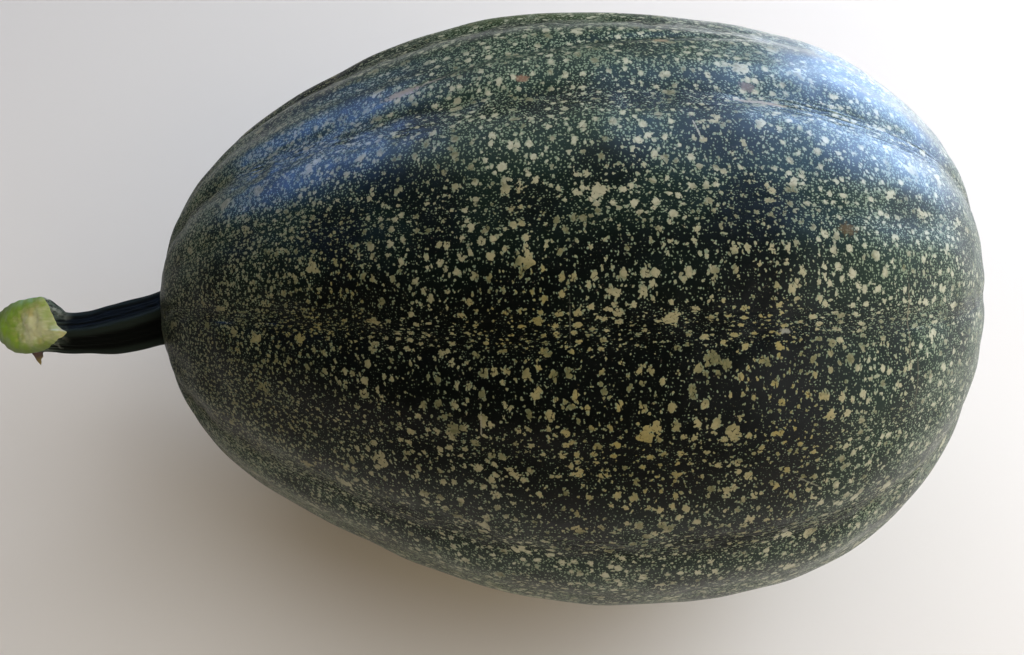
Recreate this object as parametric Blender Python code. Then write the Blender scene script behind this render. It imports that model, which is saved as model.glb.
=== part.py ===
"""A large egg-shaped dark green squash lying on its side, with its cut stem.

Two pieces grew together here: the fruit, and the ridged stem that it hung from. The fruit is
described round its own long axis, from the blossom end (+X) to the stem end (-X). It lies on
the ground (z = 0) on a small flat at its belly, and the middle of that flat is the origin.
"""

import bmesh
import bpy
import numpy as np

MM = 0.001

# The fruit's half outline is a polar curve round the fruit's centre. Its radius is a sum of
# cosines of 0, 1, 2 ... times the angle from the blossom end.
OUTLINE = (107.0 * MM, 0.0, 17.0 * MM, -3.0 * MM, 1.5 * MM, -1.5 * MM)
HALF_LENGTH = 124.0 * MM
FLATNESS = 0.97  # upright width over level width
BOW = 5.0 * MM  # how far the long axis bends back at both ends
SWAY = -3.0 * MM  # and how far it swings to and fro along its length

# Ten lobes meet in shallow sutures, with a faint line down the middle of each lobe. Their
# widths in degrees run from the suture along the top, down the front and up the back.
LOBE_WIDTHS = (39.0, 40.0, 36.0, 43.0, 39.0, 34.0, 34.0, 33.0, 32.5, 29.5)
SUTURE_DEPTH = 0.012  # share of the radius at the fruit's middle
SUTURE_DEPTH_AT_ENDS = 0.035
SUTURE_SHARPNESS = 6
LINE_DEPTH_SHARE = 0.3
LINE_SHARPNESS = 16

# The stem stands on a flat floor in a shallow basin, inside a full shoulder. The blossom
# left a corky button.
SHOULDER_HEIGHT = 1.2 * MM
SHOULDER_ANGLE = np.radians(155.0)
SHOULDER_SPAN = np.radians(14.0)
BASIN_FLOOR = -126.0 * MM
BASIN_RADIUS = 14.0 * MM
BASIN_RIM = 27.0 * MM
BUTTON_RADIUS = 6.0 * MM
BUTTON_TOP_RADIUS = 4.2 * MM
BUTTON_HEIGHT = 1.0 * MM
DIMPLE_RADIUS = 16.0 * MM
DIMPLE_DEPTH = 1.5 * MM

# How the fruit lies: its blossom end is a little up, and its belly is pressed flat.
LIE_ANGLE = np.radians(2.5)
AXIS_HEIGHT = 87.8 * MM

# Stations down the middle of the stem: x, y and z from the fruit's centre, and mean radius.
STEM_STATIONS = (
    (-126.3 * MM, 3.4 * MM, 0.0 * MM, 10.0 * MM),
    (-131.0 * MM, 1.5 * MM, -0.3 * MM, 8.2 * MM),
    (-138.0 * MM, -0.4 * MM, -0.8 * MM, 7.9 * MM),
    (-144.0 * MM, -1.3 * MM, -1.3 * MM, 7.7 * MM),
    (-150.0 * MM, -1.7 * MM, -1.9 * MM, 7.1 * MM),
    (-157.0 * MM, -1.8 * MM, -2.6 * MM, 6.2 * MM),
    (-164.6 * MM, -1.1 * MM, -3.0 * MM, 6.3 * MM),
    (-171.0 * MM, 1.4 * MM, -1.5 * MM, 8.5 * MM),
    (-179.6 * MM, 1.2 * MM, -2.0 * MM, 8.8 * MM),
    (-189.6 * MM, 1.1 * MM, -1.3 * MM, 7.2 * MM),
    (-202.6 * MM, 1.3 * MM, 0.2 * MM, 4.4 * MM),
)
RIDGES = 5
RIDGE_HEIGHT = 0.10  # share of the stem's radius
SMALL_RIDGE_HEIGHT = 0.035
RIDGES_FADE_FROM = 0.55  # share of the way along the stem
RIDGES_GONE_AT = 0.85
STEM_TWIST = np.radians(24.0)  # over the stem's whole length
STEM_TURN = np.radians(20.0)

# The knife went through the swollen end at a slant. The cut faces up, forward and away.
CUT_POINT = (-162.8 * MM, -4.5 * MM, AXIS_HEIGHT - 4.5 * MM)
CUT_NORMAL = (-0.440, -0.507, 0.741)
CUTTER_REACH = 60.0 * MM

# A torn sliver of skin hangs from the lower edge of the cut. It lies flat in the direction of
# its width, is half as thick as it is wide, and narrows to a blunt tip.
SLIVER_ROOT = (-174.6 * MM, -3.0 * MM, AXIS_HEIGHT - 14.5 * MM)
SLIVER_TIP = (-175.0 * MM, -7.0 * MM, AXIS_HEIGHT - 20.3 * MM)
SLIVER_WIDTH = 4.8 * MM
SLIVER_WIDTH_DIRECTION = (0.75, 0.0, -0.66)
SLIVER_THICKNESS_DIRECTION = (0.1, -0.95, 0.3)
SLIVER_THICKNESS_SHARE = 0.5
SLIVER_TAPER = 1.6
SLIVER_LAST_RING = 0.92  # share of the way to the tip
SLIVER_CURL = 0.8 * MM

# Mesh fineness
FRUIT_ROWS = 44
FRUIT_COLUMNS = 100
ROW_CROWDING = 0.55  # 0 spaces the fruit's rows evenly, 1 crowds them most towards both ends
STEM_ROWS = 44
STEM_COLUMNS = 40
SLIVER_ROWS = 8
SLIVER_COLUMNS = 10

# Colours (linear) and finish
SKIN_COLOUR = (0.012, 0.017, 0.011, 1.0)
SKIN_ROUGHNESS = 0.3
STEM_COLOUR = (0.008, 0.012, 0.008, 1.0)
STEM_ROUGHNESS = 0.45


def clear_scene():
    """Removes every object that the scene opened with."""
    for thing in list(bpy.data.objects):
        bpy.data.objects.remove(thing, do_unlink=True)


def material(name, colour, roughness):
    """A plain Principled material."""
    made = bpy.data.materials.new(name)
    made.use_nodes = True
    shader = made.node_tree.nodes["Principled BSDF"]
    shader.inputs["Base Color"].default_value = colour
    shader.inputs["Roughness"].default_value = roughness
    shader.inputs["Metallic"].default_value = 0.0
    return made


def smoothstep(low, high, value):
    """Rises from 0 at low to 1 at high, level at both."""
    share = np.clip((value - low) / (high - low), 0.0, 1.0)
    return share * share * (3.0 - 2.0 * share)


def closed_tube(name, rings, first_end, last_end):
    """A mesh object of rings of points, joined by quads and closed by a fan at each end.

    rings has the shape (rings, points round, 3), and turns clockwise seen from its last end.
    """
    ring_count, round_count = rings.shape[:2]
    points = np.vstack([rings.reshape(-1, 3), first_end, last_end])
    here = np.arange(round_count)
    after = (here + 1) % round_count
    last_ring = (ring_count - 1) * round_count
    first_point = ring_count * round_count
    faces = [
        (int(row + a), int(row + b), int(row + round_count + b), int(row + round_count + a))
        for row in range(0, last_ring, round_count)
        for a, b in zip(here, after)
    ]
    faces += [(first_point, int(b), int(a)) for a, b in zip(here, after)]
    faces += [
        (first_point + 1, int(last_ring + a), int(last_ring + b)) for a, b in zip(here, after)
    ]
    mesh = bpy.data.meshes.new(name)
    mesh.from_pydata(points.tolist(), [], faces)
    mesh.update()
    made = bpy.data.objects.new(name, mesh)
    bpy.context.collection.objects.link(made)
    return made


def box(name, low, high):
    """A box between two corners, as a mesh object."""
    shape = bmesh.new()
    bmesh.ops.create_cube(shape, size=1.0)
    low, high = np.array(low), np.array(high)
    for vertex in shape.verts:
        vertex.co = (low + high) / 2 + (high - low) * np.array(vertex.co)
    mesh = bpy.data.meshes.new(name)
    shape.to_mesh(mesh)
    shape.free()
    made = bpy.data.objects.new(name, mesh)
    bpy.context.collection.objects.link(made)
    return made


def combine(body, tool, operation):
    """Cuts the tool out of the body, or joins it on, and keeps the tool as a guide only."""
    step = body.modifiers.new(tool.name, "BOOLEAN")
    step.operation = operation
    step.solver = "EXACT"
    step.object = tool
    tool.hide_render = True
    tool.display_type = "WIRE"


def outline(angle):
    """Distance along the axis and radius, at an angle from the blossom end."""
    reach = sum(term * np.cos(order * angle) for order, term in enumerate(OUTLINE))
    reach = reach + SHOULDER_HEIGHT * np.exp(-(((angle - SHOULDER_ANGLE) / SHOULDER_SPAN) ** 2))
    return reach * np.cos(angle), reach * np.sin(angle)


def end_forms(along, radius):
    """Adds the stem's basin at one end, and the dimple and its corky button at the other."""
    floor = 1.0 - smoothstep(BASIN_RADIUS, BASIN_RIM, radius)
    basin = np.where(along < 0.0, floor, 0.0)
    along = along + basin * (BASIN_FLOOR - along)
    dimple = DIMPLE_DEPTH * (1.0 - smoothstep(0.0, DIMPLE_RADIUS, radius))
    button = BUTTON_HEIGHT * (1.0 - smoothstep(BUTTON_TOP_RADIUS, BUTTON_RADIUS, radius))
    return along + np.where(along > 0.0, button - dimple, 0.0)


def suture_share(turn):
    """1 in a suture, a small share on the line between two, and 0 on the lobes' faces."""
    sutures = np.concatenate([[0.0], np.cumsum(LOBE_WIDTHS)])
    lobe = np.interp(np.degrees(turn) % 360.0, sutures, np.arange(len(sutures)))
    suture = np.abs(np.cos(np.pi * lobe)) ** SUTURE_SHARPNESS
    line = np.abs(np.sin(np.pi * lobe)) ** LINE_SHARPNESS
    return suture + LINE_DEPTH_SHARE * line


def axis_shift(along):
    """How far the long axis stands back from a straight line."""
    share = along / HALF_LENGTH
    return BOW * share**2 + SWAY * np.sin(np.pi * share)


def fruit_surface(angle, turn):
    """Points of the skin: angle from the blossom end, and turn round the axis from the top."""
    along, radius = outline(angle)
    along = end_forms(along, radius)
    deepening = (np.abs(along) / HALF_LENGTH) ** 2
    depth = SUTURE_DEPTH + (SUTURE_DEPTH_AT_ENDS - SUTURE_DEPTH) * np.clip(deepening, 0.0, 1.0)
    clear_of_ends = smoothstep(BASIN_RADIUS, BASIN_RIM, radius)
    radius = radius * (1.0 - depth * clear_of_ends * suture_share(turn))
    across = axis_shift(along) - radius * np.sin(turn)
    height = FLATNESS * radius * np.cos(turn)
    return np.stack(np.broadcast_arrays(along, across, height), axis=-1)


def make_fruit(lie):
    """The fruit, closed at both poles and cut level where it lies on the ground."""
    share = np.linspace(0.0, 1.0, FRUIT_ROWS + 1)
    angle = np.pi * (share - ROW_CROWDING * np.sin(2 * np.pi * share) / (2 * np.pi))
    turn = np.linspace(0.0, 2 * np.pi, FRUIT_COLUMNS, endpoint=False)
    rings = fruit_surface(angle[1:-1, None], turn[None, :])
    blossom_pole = fruit_surface(angle[0], 0.0)
    stem_pole = fruit_surface(angle[-1], 0.0)
    fruit = closed_tube("fruit", rings, blossom_pole, stem_pole)
    fruit.data.shade_smooth()
    fruit.data.materials.append(material("glossy dark green skin", SKIN_COLOUR, SKIN_ROUGHNESS))
    fruit.parent = lie
    reach = CUTTER_REACH
    ground = box("ground cutter", (-reach, -reach, -reach), (reach, reach, 0.0))
    combine(fruit, ground, "DIFFERENCE")
    return fruit


def stem_path(rows):
    """Middle points and mean radii, eased between the stations by a Catmull-Rom curve."""
    stations = np.array(STEM_STATIONS)
    before = 2 * stations[0] - stations[1]
    beyond = 2 * stations[-1] - stations[-2]
    padded = np.vstack([before, stations, beyond])
    place = np.linspace(0.0, len(stations) - 1.0, rows)
    index = np.minimum(place.astype(int), len(stations) - 2)
    share = (place - index)[:, None]
    a, b, c, d = (padded[index + step] for step in range(4))
    curve = 2 * b + (c - a) * share + (2 * a - 5 * b + 4 * c - d) * share**2
    curve += (3 * b - a - 3 * c + d) * share**3
    return curve[:, :3] / 2, curve[:, 3] / 2


def stem_rings(rows, columns):
    """Rings square to the fruit's axis. Five large and five small ridges fade to the cut end."""
    middle, radius = stem_path(rows)
    along = np.linspace(0.0, 1.0, rows)[:, None]
    turn = np.linspace(0.0, 2 * np.pi, columns, endpoint=False)[None, :]
    ridge_turn = RIDGES * (turn - STEM_TURN - STEM_TWIST * along)
    ridges = RIDGE_HEIGHT * np.cos(ridge_turn) + SMALL_RIDGE_HEIGHT * np.cos(2 * ridge_turn)
    ridges = ridges * (1.0 - smoothstep(RIDGES_FADE_FROM, RIDGES_GONE_AT, along))
    reach = radius[:, None] * (1.0 + ridges)
    rings = np.repeat(middle[:, None, :], columns, axis=1)
    rings[..., 1] -= reach * np.sin(turn)
    rings[..., 2] += reach * np.cos(turn)
    return rings, middle


def cut_frame():
    """Two directions in the plane of the cut, and its normal, all square to each other."""
    normal = np.array(CUT_NORMAL) / np.linalg.norm(CUT_NORMAL)
    first = np.cross(normal, (0.0, 1.0, 0.0))
    first /= np.linalg.norm(first)
    return first, np.cross(normal, first), normal


def make_cutter():
    """A block whose lower face is the slanted cut through the stem's end."""
    reach = CUTTER_REACH
    cutter = box("cut cutter", (-reach, -reach, 0.0), (reach, reach, reach))
    directions = np.array(cut_frame())
    points = np.array([vertex.co for vertex in cutter.data.vertices])
    placed = points @ directions + np.array(CUT_POINT)
    cutter.data.vertices.foreach_set("co", placed.ravel())
    cutter.data.update()
    return cutter


def make_sliver():
    """A flat pointed tongue, curling towards the stem's tip between its own root and tip."""
    root, tip = np.array(SLIVER_ROOT), np.array(SLIVER_TIP)
    share = np.linspace(0.0, SLIVER_LAST_RING, SLIVER_ROWS)[:, None]
    middle = root + (tip - root) * share
    middle[:, 0] -= SLIVER_CURL * np.sin(np.pi * share[:, 0])
    turn = np.linspace(0.0, 2 * np.pi, SLIVER_COLUMNS, endpoint=False)[:, None]
    flat = np.cos(turn) * np.array(SLIVER_WIDTH_DIRECTION)
    thick = SLIVER_THICKNESS_SHARE * np.sin(turn) * np.array(SLIVER_THICKNESS_DIRECTION)
    half_width = SLIVER_WIDTH / 2 * (1.0 - share**SLIVER_TAPER)[..., None]
    rings = middle[:, None, :] + half_width * (flat - thick)
    sliver = closed_tube("torn sliver", rings, root, tip)
    shape = bmesh.new()
    shape.from_mesh(sliver.data)
    bmesh.ops.recalc_face_normals(shape, faces=shape.faces)
    shape.to_mesh(sliver.data)
    shape.free()
    return sliver


def make_stem(lie):
    """The stem: a ridged, curved, swollen rod, cut at a slant, with its torn sliver."""
    rings, middle = stem_rings(STEM_ROWS, STEM_COLUMNS)
    stem = closed_tube("stem", rings, middle[0], middle[-1])
    stem.data.materials.append(material("dark ridged stem skin", STEM_COLOUR, STEM_ROUGHNESS))
    stem.parent = lie
    combine(stem, make_sliver(), "UNION")
    combine(stem, make_cutter(), "DIFFERENCE")
    stem.data.shade_smooth()
    return stem


def make_squash():
    """Both pieces on one empty, which holds how the fruit lies."""
    clear_scene()
    lie = bpy.data.objects.new("lie of the fruit", None)
    bpy.context.collection.objects.link(lie)
    lie.location = (0.0, 0.0, AXIS_HEIGHT)
    lie.rotation_euler = (0.0, -LIE_ANGLE, 0.0)
    make_fruit(lie)
    make_stem(lie)


make_squash()
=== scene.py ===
"""The looks of a large dark green speckled squash, lying on its side with its cut stem."""

import math

import bmesh
import bpy
import numpy as np
from mathutils import Matrix, Vector


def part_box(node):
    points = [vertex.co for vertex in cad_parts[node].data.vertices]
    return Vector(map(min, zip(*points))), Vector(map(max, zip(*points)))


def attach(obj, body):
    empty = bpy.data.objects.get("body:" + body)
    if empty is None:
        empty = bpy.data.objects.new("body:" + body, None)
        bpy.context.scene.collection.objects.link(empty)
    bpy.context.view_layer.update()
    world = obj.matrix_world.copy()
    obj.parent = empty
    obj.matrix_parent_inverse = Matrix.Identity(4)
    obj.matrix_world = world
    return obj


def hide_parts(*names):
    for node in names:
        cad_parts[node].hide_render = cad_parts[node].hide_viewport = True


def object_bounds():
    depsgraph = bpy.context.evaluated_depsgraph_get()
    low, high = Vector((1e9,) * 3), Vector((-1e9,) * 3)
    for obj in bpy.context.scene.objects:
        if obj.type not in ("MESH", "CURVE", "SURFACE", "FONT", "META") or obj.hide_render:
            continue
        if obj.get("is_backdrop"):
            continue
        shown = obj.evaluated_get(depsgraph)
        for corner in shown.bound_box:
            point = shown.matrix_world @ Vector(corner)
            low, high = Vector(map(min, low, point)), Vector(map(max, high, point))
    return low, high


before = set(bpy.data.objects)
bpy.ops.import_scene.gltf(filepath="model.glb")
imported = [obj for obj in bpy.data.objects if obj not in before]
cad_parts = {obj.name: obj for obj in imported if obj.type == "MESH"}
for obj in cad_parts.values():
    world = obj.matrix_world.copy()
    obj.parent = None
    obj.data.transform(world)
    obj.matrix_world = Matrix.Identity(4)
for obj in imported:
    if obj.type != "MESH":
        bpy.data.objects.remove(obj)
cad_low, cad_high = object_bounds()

# The fruit
# One large berry in a thin hard rind, grown whole and never cut. The rind is a nearly black
# green under a smooth natural wax, and it is flecked with cream where no green formed.

MM = 0.001

# The form repeats the solid's: a polar outline, ten lobes, the stem's basin, the blossom's button.
OUTLINE = (107.0 * MM, 0.0, 17.0 * MM, -3.0 * MM, 1.5 * MM, -1.5 * MM)  # its cosine terms
HALF_LENGTH = 124.0 * MM
FLATNESS = 0.97  # height over width
BOW = 5.0 * MM  # how far the long axis bends back at both ends
SWAY = -3.0 * MM  # and how far it swings to and fro
LOBE_WIDTHS = (39.0, 40.0, 36.0, 43.0, 39.0, 34.0, 34.0, 33.0, 32.5, 29.5)  # degrees, from the top
SUTURE_DEPTH = 0.012  # shares of the radius
SUTURE_DEPTH_AT_ENDS = 0.035
LINE_DEPTH_SHARE = 0.3  # a fainter line runs down the middle of each lobe
SUTURE_SHARPNESS = 6
LINE_SHARPNESS = 16
SUTURE_SWING = math.radians(1.3)  # the sutures swing to and fro along the fruit
SWING_RATE = 5.0
SHOULDER_HEIGHT = 1.2 * MM
SHOULDER_ANGLE = math.radians(155.0)
SHOULDER_SPAN = math.radians(14.0)
BASIN_FLOOR = -126.0 * MM
BASIN_RADIUS = 14.0 * MM
BASIN_RIM = 27.0 * MM
BUTTON_RADIUS = 6.0 * MM
BUTTON_TOP_RADIUS = 4.2 * MM
BUTTON_HEIGHT = 1.0 * MM
DIMPLE_RADIUS = 16.0 * MM
DIMPLE_DEPTH = 1.5 * MM
LIE_ANGLE = math.radians(2.5)
AXIS_HEIGHT = 87.8 * MM

FRUIT_ROWS = 196
FRUIT_COLUMNS = 500
ROW_CROWDING = 0.55  # rows stand closer at both ends
LUMP_DEPTH = 0.5 * MM
LUMP_LENGTH = 26.0 * MM
FOLD_DEPTH = 0.5 * MM  # small dents beside the sutures
FOLD_LENGTH = 9.0 * MM
FOLD_BAND = 9.0 * MM
CREASE_TURN = math.radians(344.0)  # a slanting crease on the upper side
CREASE_SLANT = math.radians(-0.17) / MM
CREASE_REACH = 52.0 * MM  # it fades out this far to each side of the middle
CREASE_WIDTH = 2.4 * MM
CREASE_DEPTH = 0.9 * MM
SKIN_RADIUS = 90.0 * MM  # the radius at which the skin's pattern has its full size
SMALLEST_PATTERN = 0.25
LENGTHWISE_SHRINKING = 0.45  # 0 keeps the flecks' length at both ends, 1 keeps their shape
SUTURE_CROWDING = 1.5  # how much more of the chart a suture takes up, and over which band
SUTURE_BAND = 4.5 * MM
LINE_CROWDING = 0.5
CHART_STEPS = 7201
UV_MARGIN = 0.006  # share of the bake's map left free round each strip
SEAM_TURN = math.radians(197.0)  # the suture where the skin's pattern begins and ends


def smoothstep(low, high, value):
    """Rises from 0 at low to 1 at high, level at both: 3 t squared less 2 t cubed."""
    share = np.clip((value - low) / (high - low), 0.0, 1.0)
    return share * share * (3.0 - 2.0 * share)


def waves(points, length, seed, count=28):
    """A smooth random field, mostly from -1 to 1: sines along random directions, summed up."""
    draw = np.random.default_rng(seed)
    directions = draw.normal(size=(count, 3))
    directions /= np.linalg.norm(directions, axis=1)[:, None]
    turns = points @ directions.T / length * draw.uniform(0.6, 1.5, count)
    field = np.sin(2 * np.pi * (turns + draw.uniform(0.0, 1.0, count)))
    return field.sum(axis=-1) * math.sqrt(1.0 / count)


def lobe_place(turn):
    """Which lobe a turn is in, as a number that is whole in every suture."""
    sutures = np.concatenate([[0.0], np.cumsum(LOBE_WIDTHS)])
    return np.interp(np.degrees(turn) % 360.0, sutures, np.arange(len(sutures)))


def suture_distance(turn):
    """The angle round the axis from the nearest suture, with its sign."""
    sutures = np.concatenate([[0.0], np.cumsum(LOBE_WIDTHS)])
    nearest = sutures[np.round(lobe_place(turn)).astype(int)]
    return np.radians(np.degrees(turn) % 360.0 - nearest)


def outline(angle):
    """Distance along the axis and radius: a sum of cosines of the angle, and the shoulder."""
    reach = sum(term * np.cos(order * angle) for order, term in enumerate(OUTLINE))
    reach = reach + SHOULDER_HEIGHT * np.exp(-(((angle - SHOULDER_ANGLE) / SHOULDER_SPAN) ** 2))
    return reach * np.cos(angle), reach * np.sin(angle)


def end_forms(along, radius):
    """Draws the stem end down to the basin's floor, and adds the blossom's dimple and button."""
    basin = np.where(along < 0.0, 1.0 - smoothstep(BASIN_RADIUS, BASIN_RIM, radius), 0.0)
    along = along + basin * (BASIN_FLOOR - along)
    dimple = DIMPLE_DEPTH * (1.0 - smoothstep(0.0, DIMPLE_RADIUS, radius))
    button = BUTTON_HEIGHT * (1.0 - smoothstep(BUTTON_TOP_RADIUS, BUTTON_RADIUS, radius))
    return along + np.where(along > 0.0, button - dimple, 0.0)


def to_row_frame(points):
    """Turns points of the fruit's own frame by its lie, and lifts them to the axis's height."""
    lie = np.array(Matrix.Rotation(-LIE_ANGLE, 3, "Y"))
    return points @ lie.T + np.array((0.0, 0.0, AXIS_HEIGHT))


def fruit_surface(angle, turn, relief=0.0):
    """The rind at an angle from the blossom end and a turn round the axis from the top.

    The outline's radius is drawn in by the sutures and the relief, and the middle is bowed.
    """
    along, radius = outline(angle)
    along = end_forms(along, radius)
    share = along / HALF_LENGTH
    depth = SUTURE_DEPTH + (SUTURE_DEPTH_AT_ENDS - SUTURE_DEPTH) * np.clip(share**2, 0.0, 1.0)
    clear_of_ends = smoothstep(BASIN_RADIUS, BASIN_RIM, radius)
    lobe = np.pi * lobe_place(turn + SUTURE_SWING * np.sin(SWING_RATE * share) * clear_of_ends)
    groove = np.abs(np.cos(lobe)) ** SUTURE_SHARPNESS
    groove = groove + LINE_DEPTH_SHARE * np.abs(np.sin(lobe)) ** LINE_SHARPNESS
    radius = radius * (1.0 - depth * clear_of_ends * groove) - relief * clear_of_ends
    across = BOW * share**2 + SWAY * np.sin(np.pi * share) - radius * np.sin(turn)
    height = FLATNESS * radius * np.cos(turn)
    return to_row_frame(np.stack(np.broadcast_arrays(along, across, height), axis=-1))


def closed_grid(name, rings, first_end, last_end):
    """A mesh of rings of points, joined by quads, with a fan of triangles at each end.

    Also gives each face corner's ring and its place round the ring, counted on past the seam.
    """
    rows, columns = rings.shape[:2]
    points = np.concatenate([rings.reshape(-1, 3), [first_end], [last_end]])
    row, column = (grid.ravel() for grid in np.mgrid[0 : rows - 1, 0:columns])
    corner_row = [row[:, None] + np.array([0, 0, 1, 1])]
    corner_column = [column[:, None] + np.array([0, 1, 1, 0])]
    edge = np.arange(columns)[:, None]
    corner_row += [np.tile([-1, 0, 0], (columns, 1))]
    corner_row += [np.tile([rows, rows - 1, rows - 1], (columns, 1))]
    corner_column += [edge + np.array([0.5, 1, 0]), edge + np.array([0.5, 0, 1])]
    sizes = np.concatenate([np.full(len(part), part.shape[1]) for part in corner_row])
    corner_row = np.concatenate([part.ravel() for part in corner_row])
    corner_column = np.concatenate([part.ravel() for part in corner_column])
    vertex = corner_row * columns + corner_column.astype(int) % columns
    vertex = np.where(corner_row < 0, rows * columns, vertex)
    vertex = np.where(corner_row >= rows, rows * columns + 1, vertex)

    mesh = bpy.data.meshes.new(name)
    mesh.vertices.add(len(points))
    mesh.vertices.foreach_set("co", points.ravel())
    mesh.loops.add(len(vertex))
    mesh.loops.foreach_set("vertex_index", vertex)
    mesh.polygons.add(len(sizes))
    mesh.polygons.foreach_set("loop_start", np.cumsum(sizes) - sizes)
    mesh.update(calc_edges=True)
    mesh.validate()
    mesh.shade_smooth()
    made = bpy.data.objects.new(name, mesh)
    bpy.context.collection.objects.link(made)

    # the map that a bake uses: two strips, one for each half of the way round
    lowest = np.minimum.reduceat(corner_column, np.cumsum(sizes) - sizes)
    face_column = np.repeat(np.floor(lowest), sizes)
    second = face_column >= columns // 2
    across = (corner_column - second * (columns // 2)) / (columns - columns // 2)
    strip = np.stack([(corner_row + 1) / (rows + 1), (across + second) / 2], axis=-1)
    centre = np.stack([np.full(len(second), 0.5), 0.25 + 0.5 * second], axis=-1)
    add_map(mesh, "OFBake", centre + (strip - centre) * (1.0 - UV_MARGIN))
    return made, corner_row, corner_column


def add_map(mesh, name, places):
    """Stores a UV map: one place on the map for each face corner."""
    mesh.uv_layers.new(name=name).data.foreach_set("uv", places.astype(np.float32).ravel())


def give_attribute(mesh, name, values):
    """Stores one value for each vertex, for the material to read."""
    attribute = mesh.attributes.new(name, "FLOAT", "POINT")
    attribute.data.foreach_set("value", np.ascontiguousarray(values, dtype=np.float32).ravel())


share = np.linspace(0.0, 1.0, FRUIT_ROWS + 1)
angle = np.pi * (share - ROW_CROWDING * np.sin(2 * np.pi * share) / (2 * np.pi))
turn = SEAM_TURN + np.linspace(0.0, 2 * np.pi, FRUIT_COLUMNS, endpoint=False)

# The skin's chart lays the rind out flat, opened along one suture. Along it, each step is
# stretched, but less than the rings are, so that the flecks shrink and draw out towards both
# ends. Round it, the sutures take up more of the chart than of the rind, so that their flecks
# are narrow.
along, radius = outline(angle)
along = end_forms(along, radius)
step = np.hypot(np.diff(along), np.diff(radius))
ring_scale = np.clip(radius / SKIN_RADIUS, SMALLEST_PATTERN, None) ** LENGTHWISE_SHRINKING
chart_length = np.concatenate([[0.0], np.cumsum(step * 2 / (ring_scale[1:] + ring_scale[:-1]))])
swing = SUTURE_SWING * np.sin(SWING_RATE * along / HALF_LENGTH)


def chart_turn(turn):
    """The turn in the chart: the running sum of 1, and more within a few mm of a suture."""
    fine = np.linspace(0.0, 2 * np.pi, CHART_STEPS)
    from_line = np.abs(suture_distance(fine)) * SKIN_RADIUS
    crowd = 1.0 + SUTURE_CROWDING * np.exp(-((from_line / SUTURE_BAND) ** 2))
    crowd = crowd + LINE_CROWDING * np.abs(np.sin(np.pi * lobe_place(fine))) ** LINE_SHARPNESS
    total = np.concatenate([[0.0], np.cumsum((crowd[1:] + crowd[:-1]) / 2)])
    whole_turns = np.floor(turn / (2 * np.pi))
    return 2 * np.pi * (whole_turns + np.interp(turn % (2 * np.pi), fine, total / total[-1]))


chart_points = np.stack(
    np.broadcast_arrays(
        SKIN_RADIUS * np.sin(turn), SKIN_RADIUS * np.cos(turn), chart_length[1:-1, None]
    ),
    axis=-1,
)
from_suture = np.abs(suture_distance(turn[None, :] + swing[:, None])) * SKIN_RADIUS
relief = LUMP_DEPTH * (0.5 + 0.5 * waves(chart_points, LUMP_LENGTH, seed=4))
folds = FOLD_DEPTH * (0.5 + 0.5 * waves(chart_points, FOLD_LENGTH, seed=7))
relief = relief + folds * np.exp(-((from_suture[1:-1] / FOLD_BAND) ** 2))
crease_turn = CREASE_TURN + CREASE_SLANT * along[1:-1, None]
from_crease = ((turn[None, :] - crease_turn + np.pi) % (2 * np.pi) - np.pi) * SKIN_RADIUS
crease_fade = np.exp(-((along[1:-1, None] / CREASE_REACH) ** 4))
crease = crease_fade * np.exp(-((from_crease / CREASE_WIDTH) ** 2))
relief = relief + CREASE_DEPTH * crease
rings = fruit_surface(angle[1:-1, None], turn[None, :], relief)
low, high = (np.array(corner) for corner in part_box("fruit"))
fruit, corner_row, corner_column = closed_grid(
    "speckled_fruit",
    np.clip(rings, low, high),
    fruit_surface(angle[0], 0.0),
    fruit_surface(angle[-1], 0.0),
)
corner_turn = SEAM_TURN + corner_column * 2 * np.pi / FRUIT_COLUMNS + swing[corner_row + 1]
places = np.stack([SKIN_RADIUS * chart_turn(corner_turn), chart_length[corner_row + 1]], axis=-1)
add_map(fruit.data, "chart", places / MM)


def at_vertices(grid):
    """A grid's inner rows and then its two poles, as a list of vertices."""
    grid = np.broadcast_to(grid, (FRUIT_ROWS + 1, FRUIT_COLUMNS))
    return np.concatenate([grid[1:-1].ravel(), grid[:1, 0], grid[-1:, 0]])


def near_turn(degrees, spread):
    """1 at a turn round the axis and 0 well away from it, as a bell curve."""
    apart = (np.degrees(turn) - degrees + 180.0) % 360.0 - 180.0
    return np.exp(-((apart / spread) ** 2))[None, :]


give_attribute(fruit.data, "from_suture_mm", at_vertices(from_suture / MM))
from_seam = (turn - SEAM_TURN + np.pi) % (2 * np.pi) - np.pi
from_seam = np.abs(from_seam)[None, :] * radius[:, None]
give_attribute(fruit.data, "from_seam_mm", at_vertices(from_seam / MM))

# Regions of the skin. Each is a turn from the top and a spread, both in degrees.
GROUND_SIDE = (188.0, 62.0)
UPPER_STREAK = (320.0, 10.0)
DUSTY_UPPER = (346.0, 43.0)
DUSTY_LOWER = (105.0, 38.0)
DUSTY_BACK = (220.0, 80.0)
CLEAR_SHOULDER = (318.0, 30.0)
DULL_SHOULDER = (324.0, 21.0)
# And these run lengthwise: where one starts and is full, as shares of the half length.
BLOSSOM_DUST = (0.3, 0.85)
STEM_DUST = (-0.45, -0.95)
CLEAR_STEM_HALF = (-0.2, -0.6)
VIVID_FROM_STEM = (-0.85, -0.2)
DOTTED_STEM_END = (-0.3, -0.8)
DULL_STEM_END = (-0.7, -0.95)
DULL_STEM_HALF = (0.4, 0.0)
STREAK_MIDDLE = -0.15
STREAK_LENGTH = 0.35
PATCH_LENGTH = 24.0 * MM
REGION_LENGTH = 60.0 * MM
CLOUD_LENGTH = 9.0 * MM

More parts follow.
